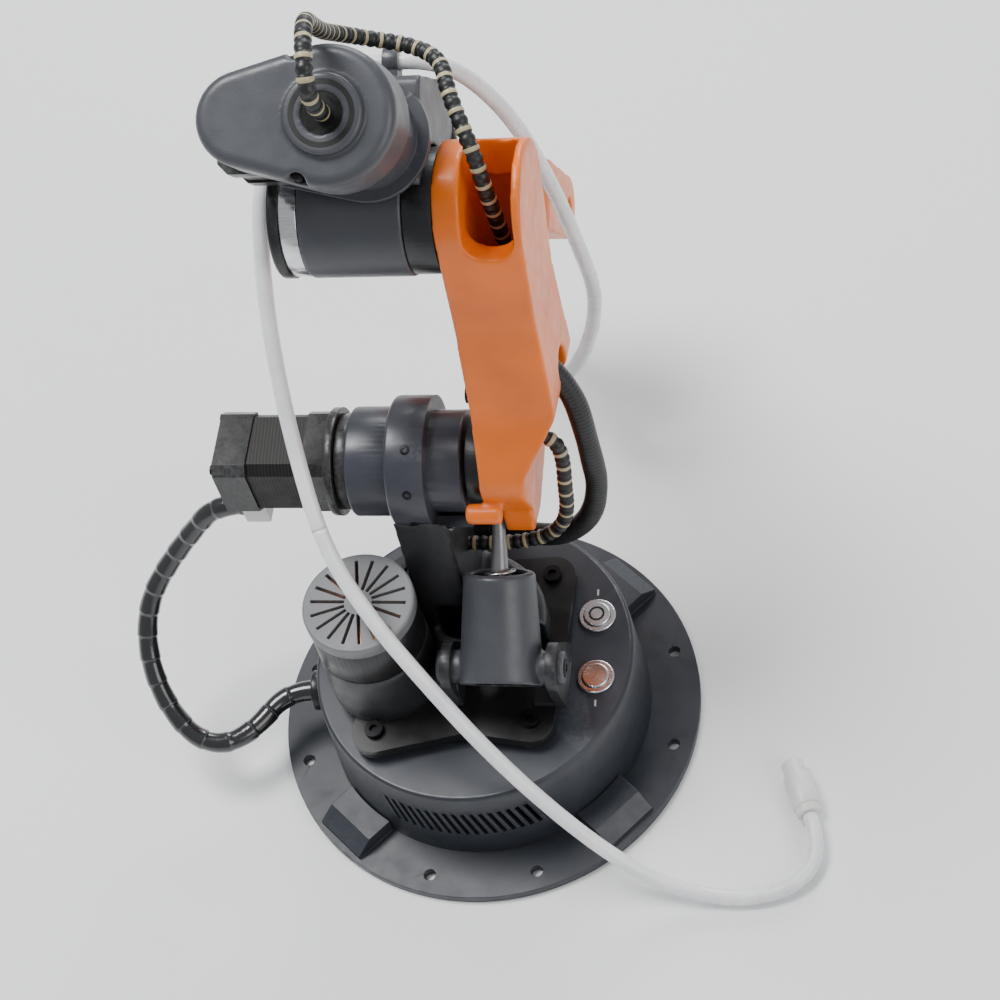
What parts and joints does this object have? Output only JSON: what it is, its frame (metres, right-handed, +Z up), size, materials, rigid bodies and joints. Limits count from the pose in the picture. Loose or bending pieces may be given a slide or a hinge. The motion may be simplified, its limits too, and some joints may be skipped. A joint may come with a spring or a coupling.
{
  "type": "desktop robot arm",
  "caption": "Small desktop articulated robot arm on a round base, with a spring-balanced upper arm, belt-driven forearm roll, forked wrist and a suction cup tool.",
  "frame": {"origin": "centre of the base's underside, on the first (yaw) axis", "axes": "+Z up along the yaw axis, +Y the way the arm reaches at yaw zero, +X to its right"},
  "size_m": [0.2516, 0.2644, 0.3338],
  "materials": {
    "base_plastic": "satin",
    "black_plastic": "satin",
    "grey_metal": "satin",
    "light_grey": "satin",
    "orange_metal": "satin",
    "black_gloss": "gloss",
    "motor_black": "satin",
    "steel": "brushed",
    "dark_hub": "satin",
    "screw_black": "oxide",
    "board_green": "matte",
    "cable_black": "satin",
    "hose_white": "gloss",
    "fitting_white": "gloss",
    "tool_plastic": "satin",
    "cup_rubber": "satin"
  },
  "bodies": {
    "base": {"base_flange": "base_plastic", "base_casing": "base_plastic", "yaw_bearing": "steel", "base_bottom_cover": "base_plastic", "bottom_cover_screws": "screw_black", "control_board": "board_green", "yaw_sun_gear": "steel", "button_bezels": "steel", "harness_gland": "black_plastic", "base_harness": "cable_black", "suction_hose": "hose_white", "hose_fitting": "fitting_white"},
    "turret": {"turret_plate": "black_plastic", "turret_screws": "screw_black", "turret_spindle": "steel", "turret_body": "grey_metal", "yaw_motor_housing": "grey_metal", "yaw_motor_shell": "black_plastic", "yaw_motor": "motor_black", "yaw_motor_lid": "light_grey", "shoulder_housing": "grey_metal", "shoulder_gearbox": "motor_black", "shoulder_motor": "motor_black", "balancer_bracket": "grey_metal", "shoulder_sleeve_cable": "cable_black", "shoulder_spiral_cable": "cable_black"},
    "yaw_pinion": {"yaw_pinion": "steel"},
    "balancer_housing": {"balancer_housing": "grey_metal", "balancer_spring": "steel"},
    "balancer_rod": {"balancer_rod": "steel"},
    "upper_arm": {"upper_arm_link": "orange_metal", "balancer_pin": "steel", "shoulder_output_hub": "dark_hub", "elbow_output_hub": "dark_hub", "upper_arm_screws": "screw_black", "head_spiral_cable": "cable_black"},
    "head": {"elbow_housing": "grey_metal", "elbow_motor": "motor_black", "elbow_lid": "light_grey", "head_front_casting": "grey_metal", "roll_motor": "motor_black", "head_rear_frame": "grey_metal", "head_rear_cover": "grey_metal", "rear_cover_screws": "screw_black", "roll_belt": "black_plastic", "forearm_bearings": "steel", "hose_clip": "black_plastic"},
    "roll_motor_pulley": {"roll_motor_pulley": "steel"},
    "forearm": {"forearm_spindle": "steel", "forearm_tube": "black_gloss", "wrist_fork": "orange_metal", "tube_collar": "black_plastic"},
    "wrist": {"wrist_carrier": "black_gloss", "wrist_pins": "steel", "tool_motor": "motor_black"},
    "tool": {"tool_flange": "black_gloss", "suction_adapter": "tool_plastic", "suction_cup": "cup_rubber"},
    "power_button": {"power_button": "steel"},
    "reset_button": {"reset_button": "steel"}
  },
  "joints": [
    {"name": "yaw", "type": "hinge", "parent": "base", "child": "turret", "pos_m": [0, 0, 0.05], "axis": [0, 0, 1], "range_deg": [-106, 164], "deforming": ["base_harness", "suction_hose"]},
    {"name": "shoulder", "type": "hinge", "parent": "turret", "child": "upper_arm", "pos_m": [0.00207, 0.02962, 0.127], "axis": [-0.9976, 0.0698, 0], "range_deg": [-47, 39], "deforming": ["balancer_spring", "shoulder_sleeve_cable", "shoulder_spiral_cable", "suction_hose"]},
    {"name": "elbow", "type": "hinge", "parent": "upper_arm", "child": "head", "pos_m": [0.00389, 0.05568, 0.23179], "axis": [0.9976, -0.0698, 0], "range_deg": [-20, 103], "deforming": ["head_spiral_cable", "suction_hose"]},
    {"name": "forearm_roll", "type": "hinge", "parent": "head", "child": "forearm", "pos_m": [0.00506, 0.07241, 0.24269], "axis": [0.038, 0.5433, -0.8387], "range_deg": [-180, 180], "deforming": ["suction_hose"]},
    {"name": "wrist_pitch", "type": "hinge", "parent": "forearm", "child": "wrist", "pos_m": [0.01148, 0.16422, 0.10097], "axis": [-0.9976, 0.0698, 0], "range_deg": [-143, 87], "deforming": ["suction_hose"]},
    {"name": "tool_roll", "type": "hinge", "parent": "wrist", "child": "tool", "pos_m": [0.01148, 0.16422, 0.08097], "axis": [0, 0, 1], "range_deg": [-90, 90], "deforming": ["suction_hose"]},
    {"name": "balancer_tilt", "type": "hinge", "parent": "turret", "child": "balancer_housing", "pos_m": [0.01649, -0.0222, 0.071], "axis": [0.9976, -0.0698, 0], "range_deg": [-11.12, 9.25]},
    {"name": "balancer_rod_swing", "type": "hinge", "parent": "upper_arm", "child": "balancer_rod", "pos_m": [0.01969, 0.02354, 0.10759], "axis": [0.9976, -0.0698, 0], "range_deg": [-58.12, 48.25]},
    {"name": "yaw_pinion_spin", "type": "hinge", "parent": "turret", "child": "yaw_pinion", "pos_m": [-0.03047, -0.00978, 0.05], "axis": [0, 0, 1], "range_deg": [-318.5, 492.5]},
    {"name": "roll_pulley_spin", "type": "hinge", "parent": "head", "child": "roll_motor_pulley", "pos_m": [-0.02338, 0.03837, 0.29804], "axis": [0.038, 0.5433, -0.8387], "range_deg": [-308.8, 308.8]},
    {"name": "power_button_press", "type": "slide", "parent": "base", "child": "power_button", "axis": [0, 0, -1], "range_m": [0, 0.0012], "stiffness_N_per_m": 500, "springref_m": -0.0006},
    {"name": "reset_button_press", "type": "slide", "parent": "base", "child": "reset_button", "axis": [0, 0, -1], "range_m": [0, 0.0012], "stiffness_N_per_m": 500, "springref_m": -0.0006}
  ],
  "couplings": [
    {"joint": "balancer_tilt", "follows": "shoulder", "ratio": 0.2345},
    {"joint": "balancer_rod_swing", "follows": "shoulder", "ratio": 1.2345},
    {"joint": "yaw_pinion_spin", "follows": "yaw", "ratio": 3},
    {"joint": "roll_pulley_spin", "follows": "forearm_roll", "ratio": 1.7143}
  ]
}
